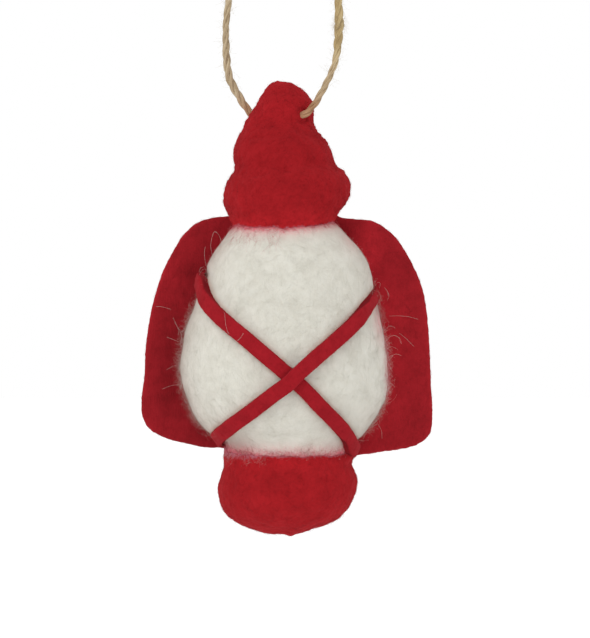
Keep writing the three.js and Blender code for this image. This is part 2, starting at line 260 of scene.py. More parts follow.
fibres, given, made = new_maker("loose_fibres", {
    "Geometry": ("Geometry", None),
    "Lies On": ("Object", None),
    "Per Square Metre": ("Float", 100000.0),
    "Seed": ("Int", 1),
    "Shortest": ("Float", 0.003), "Longest": ("Float", 0.009),
    "Thickness": ("Float", 0.00004),
    "Joints": ("Int", 7),
    "Clear": ("Float", 0.00003), "Lift": ("Float", 0.0), "Hug": ("Float", 1.0),
    "Curl": ("Float", 0.001), "Curl Size": ("Float", 0.004),
    "Combed": ("Vector", (0, 0, 0)), "Combed Out": ("Float", 0.0),
    "Lowest": ("Float", -1.0), "Highest": ("Float", 1.0), "Fade": ("Float", 0.001), "Rearmost": ("Float", 1.0),
    "Beyond": ("Float", 0.0), "Leftmost": ("Float", -1.0), "Rightmost": ("Float", 1.0),
    "Clumped": ("Float", 0.0), "Clump Size": ("Float", 0.003),
    "Finish": ("Material", None),
})


def fibre(kind, feeds, outlet=0, **settings):
    return fed(fibres, kind, feeds, outlet, **settings)


skin_place = fibre("GeometryNodeInputPosition", {})
skin_x, skin_y, skin_z = (fibre("ShaderNodeSeparateXYZ", {0: skin_place}, axis) for axis in range(3))
above = sums(fibres, "DIVIDE", sums(fibres, "SUBTRACT", skin_z, given["Lowest"]), given["Fade"])
below = sums(fibres, "DIVIDE", sums(fibres, "SUBTRACT", given["Highest"], skin_z), given["Fade"])
share = sums(fibres, "MINIMUM", sums(fibres, "MINIMUM", above, below), 1.0)
share = sums(fibres, "MAXIMUM", share, 0.0)
clump = fibre("ShaderNodeTexNoise", {
    "Vector": skin_place, "Scale": sums(fibres, "DIVIDE", 1.0, given["Clump Size"]), "Detail": 1.0})
clump = spread(fibres, clump, 0.45, 0.65, -1.0, 2.0)
marked_share = fibre("GeometryNodeInputNamedAttribute", {"Name": "sown"})
for factor in (
        sums(fibres, "LESS_THAN", skin_y, given["Rearmost"]),
        sums(fibres, "GREATER_THAN", sums(fibres, "ABSOLUTE", skin_x), given["Beyond"]),
        sums(fibres, "MULTIPLY_ADD", clump, given["Clumped"], 1.0),
        fibre("GeometryNodeSwitch", {
            "Switch": marked_share.node.outputs["Exists"], "False": 1.0, "True": marked_share}, input_type="FLOAT"),
        sums(fibres, "GREATER_THAN", skin_x, given["Leftmost"]),
        sums(fibres, "LESS_THAN", skin_x, given["Rightmost"])):
    share = sums(fibres, "MULTIPLY", share, factor)
sown = fibres.nodes.new("GeometryNodeDistributePointsOnFaces")
fibres.links.new(given["Geometry"], sown.inputs["Mesh"])
fibres.links.new(sums(fibres, "MULTIPLY", given["Per Square Metre"], share), sown.inputs["Density"])
fibres.links.new(given["Seed"], sown.inputs["Seed"])
any_way = fibre("FunctionNodeRandomValue", {
    0: (-1, -1, -1), 1: (1, 1, 1), "Seed": given["Seed"]}, data_type="FLOAT_VECTOR")
sideways = sums(fibres, "MULTIPLY", sums(fibres, "SIGN", skin_x), given["Combed Out"])
sideways = fibre("ShaderNodeCombineXYZ", {0: sideways})
way = vectors(fibres, "ADD", vectors(fibres, "ADD", any_way, given["Combed"]), sideways)
off_skin = sown.outputs["Normal"]
standing = fed(fibres, "ShaderNodeVectorMath", {0: way, 1: off_skin}, "Value", operation="DOT_PRODUCT")
way = vectors(fibres, "SUBTRACT", way, vectors(fibres, "SCALE", off_skin, by=standing))
long = fibre("FunctionNodeRandomValue", {
    2: given["Shortest"], 3: given["Longest"], "Seed": sums(fibres, "ADD", given["Seed"], 7.0)}, 1)
straight = fibre("GeometryNodeCurvePrimitiveLine", {"Start": (0, 0, 0), "End": (0, 0, 1)})
straight = fibre("GeometryNodeResampleCurve", {"Curve": straight, "Count": given["Joints"]})
laid = fibre("GeometryNodeInstanceOnPoints", {
    "Points": sown.outputs["Points"],
    "Instance": straight,
    "Rotation": fibre("FunctionNodeAlignRotationToVector", {"Vector": way}, axis="Z"),
    "Scale": fibre("ShaderNodeCombineXYZ", {0: 1.0, 1: 1.0, 2: long}),
})
laid = fibre("GeometryNodeRealizeInstances", {"Geometry": laid})
along = fibre("GeometryNodeSplineParameter", {})
which = fibre("GeometryNodeCurveOfPoint", {}, "Curve Index")
own = fibre("FunctionNodeRandomValue", {
    0: (-9, -9, -9), 1: (9, 9, 9), "ID": which, "Seed": 3}, data_type="FLOAT_VECTOR")
place = fibre("GeometryNodeInputPosition", {})
crimp = vectors(fibres, "SCALE", place, by=sums(fibres, "DIVIDE", 1.0, given["Curl Size"]))
crimp = fibre("ShaderNodeTexNoise", {
    "Vector": vectors(fibres, "ADD", crimp, own), "Scale": 1.0, "Detail": 1.0}, "Color")
crimp = vectors(fibres, "SCALE", vectors(fibres, "SUBTRACT", crimp, (0.5, 0.5, 0.5)),
                by=sums(fibres, "MULTIPLY", sums(fibres, "MULTIPLY", given["Curl"], 4.0), sums(fibres, "SQRT", along)))
curled = vectors(fibres, "ADD", place, crimp)
ground = fibre("GeometryNodeObjectInfo", {"Object": given["Lies On"]}, "Geometry")
foot = fibre("GeometryNodeSampleNearestSurface", {
    0: ground, 1: place, "Sample Position": curled}, data_type="FLOAT_VECTOR")
up = fibre("GeometryNodeSampleNearestSurface", {
    0: ground, 1: fibre("GeometryNodeInputNormal", {}), "Sample Position": curled}, data_type="FLOAT_VECTOR")
hugging = sums(fibres, "MULTIPLY", given["Hug"], spread(fibres, along, 0.0, 0.35, interpolation_type="SMOOTHSTEP"))
lying = fibre("ShaderNodeMix", {"Factor": hugging, 4: curled, 5: foot}, 1, data_type="VECTOR")
eager = fibre("FunctionNodeRandomValue", {2: 0.1, 3: 1.0, "ID": which, "Seed": 11}, 1)
lifted = sums(fibres, "MULTIPLY", sums(fibres, "POWER", along, 1.6), sums(fibres, "MULTIPLY", given["Lift"], eager))
lying = vectors(fibres, "ADD", lying, vectors(fibres, "SCALE", up, by=sums(fibres, "ADD", lifted, given["Clear"])))
laid = fibre("GeometryNodeSetPosition", {"Geometry": laid, "Position": lying})
tone = fibre("FunctionNodeRandomValue", {2: 0.0, 3: 1.0, "ID": which, "Seed": 5}, 1)
laid = fibre("GeometryNodeStoreNamedAttribute", {"Geometry": laid, "Name": "tone", "Value": tone}, domain="POINT")
thick = sums(fibres, "MULTIPLY", given["Thickness"], spread(fibres, along, 0.0, 1.0, 1.0, 0.45))
end_maker(fibres, tube(fibres, laid, 3, thick), given["Finish"], made)


def new_finish(name, rough=1.0, sheen=0.0, sheen_tint=(1, 1, 1)):
    """A matt finish with its own shader, ready for a colour and a bump."""
    finish = bpy.data.materials.new(name)
    finish.use_nodes = True
    shader = finish.node_tree.nodes["Principled BSDF"]
    shader.inputs["Roughness"].default_value = rough
    shader.inputs["Specular IOR Level"].default_value = 0.05
    shader.inputs["Sheen Weight"].default_value = sheen
    shader.inputs["Sheen Roughness"].default_value = 0.6
    shader.inputs["Sheen Tint"].default_value = (*sheen_tint, 1)
    return finish, finish.node_tree, shader


def between(tree, share, *tones):
    """A colour between tones that lie evenly from 0 to 1."""
    ramp = tree.nodes.new("ShaderNodeValToRGB")
    for index, tone in enumerate(tones):
        at = index / (len(tones) - 1)
        stop = ramp.color_ramp.elements[index] if index < 2 else ramp.color_ramp.elements.new(at)
        stop.position = at
        stop.color = (*tone, 1)
    tree.links.new(share, ramp.inputs[0])
    return ramp.outputs[0]


def wool_finish(name, tones, patch, sheen, sheen_tint, depth=0.09 * MM, shade=None):
    """Felted wool: cloudy in colour, with a fine mat of fibres as its bump."""
    finish, tree, shader = new_finish(name, sheen=sheen, sheen_tint=sheen_tint)
    place = fed(tree, "ShaderNodeTexCoord", {}, "Object")
    broad = noise(tree, place, patch, 2.0, 0.6)
    fine = noise(tree, place, patch / 9, 3.0, 0.65)
    mixed = sums(tree, "ADD", sums(tree, "MULTIPLY", broad, 0.6), sums(tree, "MULTIPLY", fine, 0.4))
    tone = between(tree, spread(tree, mixed, 0.32, 0.68), *tones)
    tree.links.new(shade(tree, tone) if shade else tone, shader.inputs["Base Color"])
    mats = []
    for turn in (0.3, 1.35, 2.4):
        strand = fed(tree, "ShaderNodeMapping", {
            "Vector": place, "Rotation": (0.4 * turn, turn, 0.8), "Scale": (1.0, 1.0, 0.16)})
        mats.append(noise(tree, strand, 0.35 * MM, 2.0, 0.6))
    mat = sums(tree, "ADD", sums(tree, "ADD", mats[0], mats[1]), mats[2])
    bump = fed(tree, "ShaderNodeBump", {"Strength": 0.8, "Distance": depth, "Height": mat})
    tree.links.new(bump, shader.inputs["Normal"])
    return finish


def written(tree, name):
    """What is written under a name at the points of a piece."""
    return fed(tree, "ShaderNodeAttribute", {}, "Fac", attribute_name=name)


def fibre_finish(name, tones, shade=None):
    """Single fibres of wool or jute, each of a tone of its own."""
    finish, tree, shader = new_finish(name, rough=0.8)
    tone = between(tree, written(tree, "tone"), *tones)
    tree.links.new(shade(tree, tone) if shade else tone, shader.inputs["Base Color"])
    return finish


def fixed(piece, body, slot, *nodes):
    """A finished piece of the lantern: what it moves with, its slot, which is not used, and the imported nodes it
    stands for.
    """
    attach(piece, body)
    if nodes:
        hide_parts(*nodes)


def tinged(tree, tone, name, tinge, most, strand, least=0.0):
    """A tone that goes over into another in fine streaks, where a piece is marked."""
    place = fed(tree, "ShaderNodeMapping", {
        "Vector": fed(tree, "ShaderNodeTexCoord", {}, "Object"), "Scale": (1, 1, strand)})
    streak = sums(tree, "SUBTRACT", noise(tree, place, 0.7 * MM, 3.0, 0.65), 0.5)
    spots = sums(tree, "MULTIPLY", written(tree, name), sums(tree, "MULTIPLY_ADD", streak, 2.6, 1.0))
    spots = spread(tree, spots, least, 0.95, 0.0, most)
    return fed(tree, "ShaderNodeMix", {0: spots, 6: tone, 7: (*tinge, 1)}, 2, data_type="RGBA")


def shaded_and_reddened(tree, tone):
    """Where it turns to the wings the wool is painted with shade and a red reflection of the wings, it is tinted tan
    beside the strips, and its ends mingle with red.
    """
    rim_shade = sums(tree, "MULTIPLY", written(tree, "turned"), RIM_SHADE_MOST)
    rim_shaded = fed(tree, "ShaderNodeMix", {0: rim_shade, 6: tone, 7: (*RIM_SHADE_TONE, 1)}, 2, data_type="RGBA")
    glued = tinged(tree, rim_shaded, "glued", STRIP_SIDE_TINGE, 0.55, 1)
    return tinged(tree, glued, "mingled", RED_TINGE, 0.85, STREAK)


def places(piece):
    """Where the points of a piece are, in a row for each."""
    place = np.empty(3 * len(piece.data.vertices))
    piece.data.vertices.foreach_get("co", place)
    return place.reshape(-1, 3)


def spots_at(place, spots):
    """How much of some soft spots there is at each place: across, height, half width, half height in mm and share."""
    return sum(share * np.exp(-((place[:, 0] / MM - x) / wide) ** 2 - ((place[:, 2] / MM - z) / high) ** 2)
               for x, z, wide, high, share in spots)


def with_painted_light_and_tone(tree, tone):
    """A tone times a share written at each point of a piece, which holds its tone and painted light and shade."""
    return vectors(tree, "SCALE", tone, by=written(tree, "painted_light_and_tone"))


def nearness(piece, others, reach):
    """For each point of a piece how near others are: 1 where they touch it, 0 from a reach on."""
    fields = [BVHTree.FromObject(other, bpy.context.evaluated_depsgraph_get()) for other in others]
    gaps = [[field.find_nearest(point.co, reach)[3] for field in fields] for point in piece.data.vertices]
    return np.array([1 - min((gap for gap in row if gap is not None), default=reach) / reach for row in gaps])


def mark(piece, name, shares):
    """Writes a share at each point of a piece, for a finish or a maker to read."""
    old = piece.data.attributes.get(name)
    if old:
        piece.data.attributes.remove(old)
    piece.data.attributes.new(name, "FLOAT", "POINT").data.foreach_set("value", shares)


white_wool = wool_finish("white_wool_felt", GLOBE_TONES, 4 * MM, 0.12, (1, 0.98, 0.93), 0.035 * MM, shaded_and_reddened)
see_through = white_wool.node_tree.nodes["Principled BSDF"].inputs
see_through["Subsurface Weight"].default_value = 0.3
see_through["Subsurface Scale"].default_value = 1.5 * MM
see_through["Subsurface Radius"].default_value = (1, 0.9, 0.8)
white_fibre = fibre_finish("white_wool_fibre", WHITE_FIBRE_TONES, shaded_and_reddened)
globe_skin = whole_skin("globe", "globe_skin", GLOBE_VOXEL, 8)
needled_in(globe_skin, GLOBE_DENTS)
globe = felted(
    "felted_globe", globe_skin, white_wool, swell=0.3, swell_size=9, lump=0.03, lump_size=2.4, prick=0.01,
    prick_size=2.4, grain=0.015, grain_size=0.7)
fixed(globe, "lantern", "white_wool", "globe")

globe_mat = loose(
    globe, "globe_lying_fibres", "white_wool", white_fibre, 21, 3.4e5, shortest=4, longest=13, thickness=0.014,
    joints=9, clear=0.004, lift=0.05, curl=1.3, curl_size=5)
globe_halo = loose(
    globe, "globe_standing_fibres", "white_wool", white_fibre, 22, 3.5e5, shortest=1, longest=4, thickness=0.012,
    joints=6, lift=0.9, hug=0.7, curl=0.9, curl_size=2.5)
turned_aside = np.array([1 - abs(point.normal.y) for point in globe.data.vertices])
mark(globe, "sown", np.clip(WISP_RISE * turned_aside - 1, 0, 1))
globe_wisps = loose(
    globe, "globe_side_wisps", "white_wool", white_fibre, 23, 1.5e6, shortest=1.2, longest=5, thickness=0.015,
    joints=7, lift=2, hug=0.3, curl=1.4, curl_size=2.5, combed_out=0.5, lowest=-171, highest=-124, fade=8,
    rearmost=6, beyond=14, clumped=0.9, clump_size=2.6)

# The base is a lump of red wool, the lantern's tank. The globe is needled down into it, so its upper edge is
# ragged, and white fibres run over it, most of all at the left.
RED_TONES = ((0.25, 0.0082, 0.011), (0.3, 0.0097, 0.0131), (0.34, 0.0115, 0.0157))
RED_FIBRE_TONES = ((0.24, 0.0075, 0.011), (0.35, 0.0125, 0.018))
THIN_FIBRE_TONES = ((0.42, 0.05, 0.07), (0.6, 0.13, 0.16))
WHITE_TINGE = (0.5, 0.27, 0.33)
LUMP_VOXEL = 0.36 * MM
# Tone and painted shade of the red lumps, by height and in spots: the cap darker than the base, lighter at the thin
# edges, and painted shade at the base's lower left.
LUMP_TONE_AND_SHADE = ((-195, 1.04), (-190, 1), (-182, 0.98), (-175, 1.06), (-108.5, 1.13), (-104, 0.92), (-84, 0.88), (-75, 0.98))
LUMP_TONE_AND_SHADE_SPOTS = (
    (-18, -184, 6, 9, -0.08), (0, -174.3, 9, 1.6, 0.18), (10, -107.5, 6, 4, 0.15), (-11, -108, 5, 3, 0.1))
EDGE_SUNK = 0.25 * MM
BASE_EDGE = -173.9 * MM
BASE_EDGE_ZONE = -6 * MM
BASE_RISE_FRONT = 1.7
BASE_RISE_SIDES = 2.2
BASE_HALF_WIDTH = 15.5
BASE_THINNED = 0.9
BASE_DENTS = (
    (-8.4, -176.5, 1.4, 1, 0.5), (-3.1, -177.6, 1.2, 1.1, 0.7), (0.6, -177.2, 1.6, 0.7, 0.3),
    (3.9, -178.6, 1.1, 0.9, 0.7), (10.4, -179, 2.2, 1, 0.7), (12.1, -175.8, 1.6, 1.2, 0.5),
    (1.1, -195.2, 1.6, 3, -0.7), (18.6, -175.6, 2.4, 2.2, 1.1), (-17.8, -171.8, 2, 2, 0.9),
    (-18.4, -175.6, 2.2, 2, 0.6), (8.5, -194.6, 3, 2, 0.5),
)
FRINGE_REACH = 2.4 * MM
WHITE_REACH = 2.6 * MM
WHITE_SIDE = -3 * MM
WHITE_FADE = 6 * MM


def red_lumps(tree, tone):
    """Red wool in its tone with painted shade, and white wool run over into it."""
    return tinged(tree, with_painted_light_and_tone(tree, tone), "mingled", WHITE_TINGE, 0.75, STREAK, 0.25)


def tone_and_shade_lump(piece):
    """The cap's wool is darker than the base's, both are lighter at the thin edge by the globe, and the base's lower
    left is painted darker as shade.
    """
    place = places(piece)
    even = np.interp(place[:, 2] / MM, *zip(*LUMP_TONE_AND_SHADE))
    mark(piece, "painted_light_and_tone", even + spots_at(place, LUMP_TONE_AND_SHADE_SPOTS))


def drawn_over(skin, onto, edge, zone, reach, thinned):
    """Draws a lump's edge over the lump it is needled to, by a reach that depends on x, and thins and sinks it."""
    face = BVHTree.FromObject(onto, bpy.context.evaluated_depsgraph_get())
    for point in skin.data.vertices:
        near = min(1 - (point.co.z - edge) / zone, 1)
        if near <= 0:
            continue
        near = near ** 2 * (3 - 2 * near)
        foot, face_out, _, _ = face.find_nearest(point.co)
        height = (point.co - foot).dot(face_out) * (1 - thinned * near ** 3) - EDGE_SUNK * near ** 8
        drawn_to = point.co + Vector((0, 0, reach(point.co.x / MM) * MM * near))
        foot, face_out, _, _ = face.find_nearest(drawn_to)
        point.co = drawn_to.lerp(foot + face_out * height, near)


def red_lump(node, edge, zone, reach, thinned, dents, lump, seed, plugs=()):
    """A lump of red wool, its edge drawn over the globe, with needle dents, its tone with painted shade, and loose
    fibres.
    """
    skin = whole_skin(node, node + "_skin", LUMP_VOXEL, 6, plugs=plugs)
    drawn_over(skin, globe, edge, zone, reach, thinned)
    needled_in(skin, dents)
    piece = felted(
        "felted_" + node, skin, red_wool, swell=0.3, swell_size=7, lump=lump, lump_size=1.6, prick=0.12,
        prick_size=2.6, grain=0.04, grain_size=0.6)
    tone_and_shade_lump(piece)
    fixed(piece, "lantern", "red_wool", node)
    loose(
        piece, node + "_fibres", "red_wool", red_fibre, seed, 6e5, shortest=1.5, longest=5, thickness=0.015,
        joints=6, clear=0.008, lift=0.75, curl=0.8, curl_size=3)
    return piece


def base_rise(x):
    """How far the base's upper edge is drawn up, by the distance to the right of its middle."""
    return BASE_RISE_FRONT + BASE_RISE_SIDES * min(abs(x) / BASE_HALF_WIDTH, 1.1) ** 4


red_wool = wool_finish("red_wool_felt", RED_TONES, 6 * MM, 0.1, (1, 0.12, 0.14), shade=red_lumps)
red_fibre = fibre_finish("red_wool_fibre", RED_FIBRE_TONES)
thin_red_fibre = fibre_finish("thin_red_fibre", THIN_FIBRE_TONES)
base = red_lump("base", BASE_EDGE, BASE_EDGE_ZONE, base_rise, BASE_THINNED, BASE_DENTS, 0.2, 31)
touching = nearness(base, [globe], WHITE_REACH)
whiter = np.clip((WHITE_SIDE - places(base)[:, 0]) / WHITE_FADE, 0, 1)
just_touching = np.maximum(2 * touching - 1.4, 0)
mark(base, "mingled", np.maximum(0.6 * touching * whiter, just_touching))
mark(globe, "sown", nearness(globe, [base], FRINGE_REACH))
loose(
    globe, "base_upper_fringe", "red_wool", red_fibre, 32, 6e6, shortest=0.6, longest=2.4, thickness=0.017,
    joints=6, lift=0.3, curl=1, curl_size=2, combed=(0, 0, 0.5), lowest=-174.5, highest=-168, rearmost=10)
mark(base, "sown", np.maximum(0.4 * touching * whiter, 0.3 * just_touching))
loose(
    base, "base_white_wisps", "white_wool", white_fibre, 33, 1.6e7, shortest=0.5, longest=1.3, thickness=0.009,
    joints=6, lift=0.2, curl=1.1, curl_size=1.6, combed=(0.2, 0, -0.1), lowest=-177.5, rearmost=6, clumped=0.6,
    clump_size=2)

# The cap is a lump of red wool in three soft lobes, the lantern's chimney. It is needled onto the top of the
# globe, and its lower edge hangs deepest at the front and least at the right.
CAP_EDGE = -108.5 * MM
CAP_EDGE_ZONE = 9 * MM
CAP_SAG_FRONT = 2.75
CAP_SAG_LEFT = 0.2
CAP_SAG_RIGHT = -3.5
CAP_HALF_WIDTH = 17
CAP_THINNED = 0.93
CAP_TINGE_REACH = 0.9 * MM
CAP_FRINGE_REACH = 1.4 * MM
HAZE_REACH = 6 * MM
HAZE_FALL_AT_CAP = 4
HAZE_FALL_AT_BASE = 3
RED_SPOTS = (
    (-11.5, -112, 3, 9, 0.3), (-6.5, -112, 3, 9, 0.25), (1, -112, 3, 9, 0.15), (-15.5, -173, 5, 5, 0.1),
    (16, -172, 3, 3, 0.2),
)
EDGE_SPOTS = ((27.3, -134, 2.5, 6, 0.6), (28.6, -147, 1.3, 8, 0.35), (18.5, -110, 2.5, 4, 0.35))
EDGE_SPOT_FADE = 5 * MM
HOLE_WAY = (0.788, -0.6157)
HOLE_HEIGHT = -77.8 * MM
HOLE_PLUGS = ((1.6, np.arange(-8, 3.1, 0.8)), (2.9, (-8.1, 2.9)))
CAP_DENTS = (
    (-7.9, -83.9, 3, 1.2, 0.6), (1.1, -79.6, 1.5, 1.2, 0.4), (-3.1, -88.1, 2.4, 1.1, 0.6), (1.7, -87.5, 1.5, 1.2, 0.6),
    (8.1, -91.4, 2.6, 1.4, 0.7), (-0.6, -93, 2, 1, 0.6), (-8.1, -94.5, 3, 1.1, 0.5), (-11.5, -97.3, 3, 1.5, -0.4),
    (4.2, -77.2, 1.3, 1.6, 0.5),
)


def cap_sag(x):
    """How far the cap's lower edge is let down, by the distance to the right of its middle."""
    across = max(-1, min(1, x / CAP_HALF_WIDTH))
    return (CAP_SAG_FRONT - (CAP_SAG_RIGHT if across > 0 else CAP_SAG_LEFT)) * across ** 2 - CAP_SAG_FRONT


hole_plugs = [
    ((at * HOLE_WAY[0] * MM, at * HOLE_WAY[1] * MM, HOLE_HEIGHT), radius * MM)
    for radius, stops in HOLE_PLUGS for at in stops]
cap = red_lump("cap", CAP_EDGE, CAP_EDGE_ZONE, cap_sag, CAP_THINNED, CAP_DENTS, 0.28, 41, hole_plugs)
mark(cap, "mingled", 0.5 * nearness(cap, [globe], CAP_TINGE_REACH))
mark(globe, "sown", nearness(globe, [cap], CAP_FRINGE_REACH))
loose(
    globe, "cap_lower_fringe", "red_wool", thin_red_fibre, 42, 1e7, shortest=0.6, longest=2.2, thickness=0.018,
    joints=6, lift=0.3, curl=1, curl_size=2, combed=(0, 0, -0.6), lowest=-115, highest=-106.5, rearmost=10)
globe.data.attributes.remove(globe.data.attributes["sown"])
globe_places = places(globe)
haze = np.zeros(len(globe_places))
for lump, fall in ((cap, HAZE_FALL_AT_CAP), (base, HAZE_FALL_AT_BASE)):
    near = nearness(globe, [lump], HAZE_REACH)
    haze = np.maximum(haze, np.where(near > 0, np.exp(fall * (near - 1)), 0) - math.exp(-fall))
haze *= 0.8 + 1.5 * spots_at(globe_places, RED_SPOTS)
in_front = np.clip(0.5 - globe_places[:, 1] / EDGE_SPOT_FADE, 0, 1)
mark(globe, "mingled", np.minimum(haze + in_front * spots_at(globe_places, EDGE_SPOTS), 1))
loose(
    globe, "cap_long_streaks", "red_wool", thin_red_fibre, 43, 1.6e6, shortest=1.5, longest=5, thickness=0.016,
    joints=9, lift=0.15, curl=1.4, curl_size=3, combed=(0, 0, -1.6), lowest=-114.5, highest=-108.5, fade=4,
    rearmost=0.0, leftmost=-15.5, rightmost=-1, clumped=0.9, clump_size=2.4)

# The frame panel is cut from thick red felt sheet and fixed behind the globe. Its two wings are the lantern's
# side tubes. They bend forward a little towards their cut edge, which is furry.
PANEL_VOXEL = 0.46 * MM
SHEET_TONES = ((0.2, 0.0085, 0.012), (0.262, 0.0105, 0.0155), (0.3, 0.0125, 0.0185))
# Painted light and shade on the sheet by across, faded by height, with painted spots of light and shade.
SHEET_PAINTED_LIGHT = (
    (-41.5, 1.05), (-38.8, 0.98), (-37, 0.88), (-35.4, 0.79), (-33, 0.76), (-28, 0.84), (0, 1), (24, 1.55), (29, 1.5),
    (32, 1.4), (35, 1.2), (38, 1.12), (41.5, 1.15),
)
PAINTED_LIGHT_FADES = ((-108, -131, 0.15), (-170, -157, 0.4))
PAINTED_LIGHT_FULL = 1.08
SHEET_PAINTED_LIGHT_SPOTS = (
    (-34.5, -124, 7, 13, 0.25), (-26.7, -122, 4, 4.5, -0.25), (-33, -166.5, 5, 4, 0.14), (-25, -166.5, 4, 4, -0.15),
    (31, -121.5, 6, 9, -0.24), (23, -113.5, 3.5, 7, 0.48), (23.5, -167.5, 4, 3.5, 0.17), (36, -163.5, 5, 4, 0.06),
    (29, -134, 3, 8, 0.14),
)
CUP_FROM = 27
CUP_TO = 41.6
CUP_DEPTH = 1.8


def paint_light_on_sheet(piece):
    """Painted light and shade on the sheet: halfway up it is painted darkest left of the globe, as the globe's shadow,
    and lightest right of it, as painted light against the globe's shadow there.
    """
    place = places(piece)
    across, height = place[:, 0] / MM, place[:, 2] / MM
    full = PAINTED_LIGHT_FULL * np.ones(len(place))
    for start, stop, least in PAINTED_LIGHT_FADES:
        share = np.clip((height - start) / (stop - start), 0, 1)
        full = np.minimum(full, least + (PAINTED_LIGHT_FULL - least) * share)
    even = np.interp(across, *zip(*SHEET_PAINTED_LIGHT))
    mark(piece, "painted_light_and_tone", 1 + (even - 1) * full + spots_at(place, SHEET_PAINTED_LIGHT_SPOTS))


sheet_felt = wool_finish("red_sheet_felt", SHEET_TONES, 5 * MM, 0.08, (1, 0.25, 0.25), 0.07 * MM, with_painted_light_and_tone)
sheet_fibre = fibre_finish("red_sheet_fibre", (SHEET_TONES[0], SHEET_TONES[2]), with_painted_light_and_tone)
panel_skin = whole_skin("frame_panel", "panel_skin", PANEL_VOXEL, 4, 0)
for point in panel_skin.data.vertices:
    out = max(0, (abs(point.co.x) / MM - CUP_FROM) / (CUP_TO - CUP_FROM))
    point.co.y -= CUP_DEPTH * MM * out ** 2
panel = felted(
    "cut_frame_panel", panel_skin, sheet_felt, swell=0.12, swell_size=8, lump=0.1, lump_size=1.5, grain=0.03,
    grain_size=0.5, warp=(0, 0.35 * MM, 0), warp_size=35)
fixed(panel, "lantern", "red_sheet_felt", "frame_panel")
panel_nap = loose(
    panel, "panel_fibres", "red_sheet_felt", sheet_fibre, 51, 3.2e5, shortest=1, longest=4, thickness=0.016,
    joints=6, lift=0.55, curl=0.7, curl_size=2.5)
paint_light_on_sheet(panel)
paint_light_on_sheet(panel_nap)

# The guard strips are narrow strips cut from thinner red felt, laid crosswise over the globe and glued to the
# panel at their ends. The one from the upper right to the lower left lies on top.
STRIP_TONES = ((0.22, 0.0072, 0.0118), (0.27, 0.0088, 0.0145), (0.31, 0.0105, 0.017))
STRIP_ENDS = {
    "guard_strip_under": (((-24.8, -121.2), (-0.962, 0.274), 0.7, 3), ((20.4, -167.6), (0.965, -0.262), 1.6, 4)),
    "guard_strip_over": (((27, -124.6), (0.977, -0.213), 1.4, 3), ((-21.9, -167.7), (-0.771, -0.637), 1.7, 3)),
}
STRIP_SLANTS = {
    "guard_strip_under": (
        ((17.7, -171.5), (-0.817, -0.577), 9, 1.3, (0.75, 0.2)), ((-23.6, -121.5), (0.89, 0.45), 11, 1.5, (-0.4, 0.1))),
    "guard_strip_over": (((23.3, -126.6), (-0.8, 0.6), 8, 1.5, (0.1, -0.9)),),
}
STRIP_VOXEL = 0.2 * MM
STRIP_THICK = 2
STRIP_STACK = 2.3 * MM
STRIP_SINK = 0.42
SIDE_FROM = 0.6
CUT_REACH = 1.2 * MM
CUT_LEAST = 0.4
STRIP_SIDE_REACH = 1.3 * MM
# Spots of painted shade on the strips' cut sides near their ends, in the crevice by the globe: across, height, half
# width, half height and share.
CUT_SHADE_SPOTS = {
    "guard_strip_under": ((-24, -126, 5, 9, 0.65), (17, -168, 4.5, 5, 0.65)),
    "guard_strip_over": ((23, -131, 8, 8, 0.65),),
}


def pulled_tight(skin, ends):
    """Presses a strip's ends in towards the globe, so that each ends at a line: place, way out, excess and depth."""
    for (x, z), (out_x, out_z), excess, depth in ends:
        for point in skin.data.vertices:
            past = (point.co.x / MM - x) * out_x + (point.co.z / MM - z) * out_z + depth
            if point.co.x * out_x > 0 and past > 0:
                point.co += Vector((out_x, 0, out_z)) * (-past * excess / (depth + excess) * MM)


def slanted(skin, sides, onto, slants):
    """Cuts a strip's ends at a slant seen from the front: place, the side it is on, length, reach and move in mm."""
    for (x, z), (side_x, side_z), length, reach, (move_x, move_z) in slants:
        way = Vector((side_x, 0, side_z))
        edge = KDTree(len(sides))
        for index, point in enumerate(skin.data.vertices):
            if sides[index] > SIDE_FROM and point.normal.dot(way) > 0.5:
                edge.insert(point.co, index)
        edge.balance()
        moves = []
        for point in skin.data.vertices:
            share = max(0, 1 - math.hypot(point.co.x / MM - x, point.co.z / MM - z) / length)
            close = max(0, 1 - edge.find(point.co)[2] / CUT_REACH)
            foot, face_out, _, _ = onto.find_nearest(point.co)
            sunk = 1 - max(0, min(1, (point.co - foot).dot(face_out) / MM / STRIP_THICK))
            share = share ** 2 * (3 - 2 * share) * MM
            moves.append(way * (reach * share * min(1, 2 * close) * sunk) + Vector((move_x, 0, move_z)) * share)
        for point, move in zip(skin.data.vertices, moves):
            point.co += move


def darker_where_cut_and_shaded(tree, tone):
    """The cut side of felt, where its fibres end, takes in more light than its face, and at a strip's ends painted
    shade darkens it more, in the crevice by the globe.
    """
    return vectors(tree, "SCALE", tone, by=spread(tree, written(tree, "cut"), 0.3, 0.9, 1.0, 0.5))


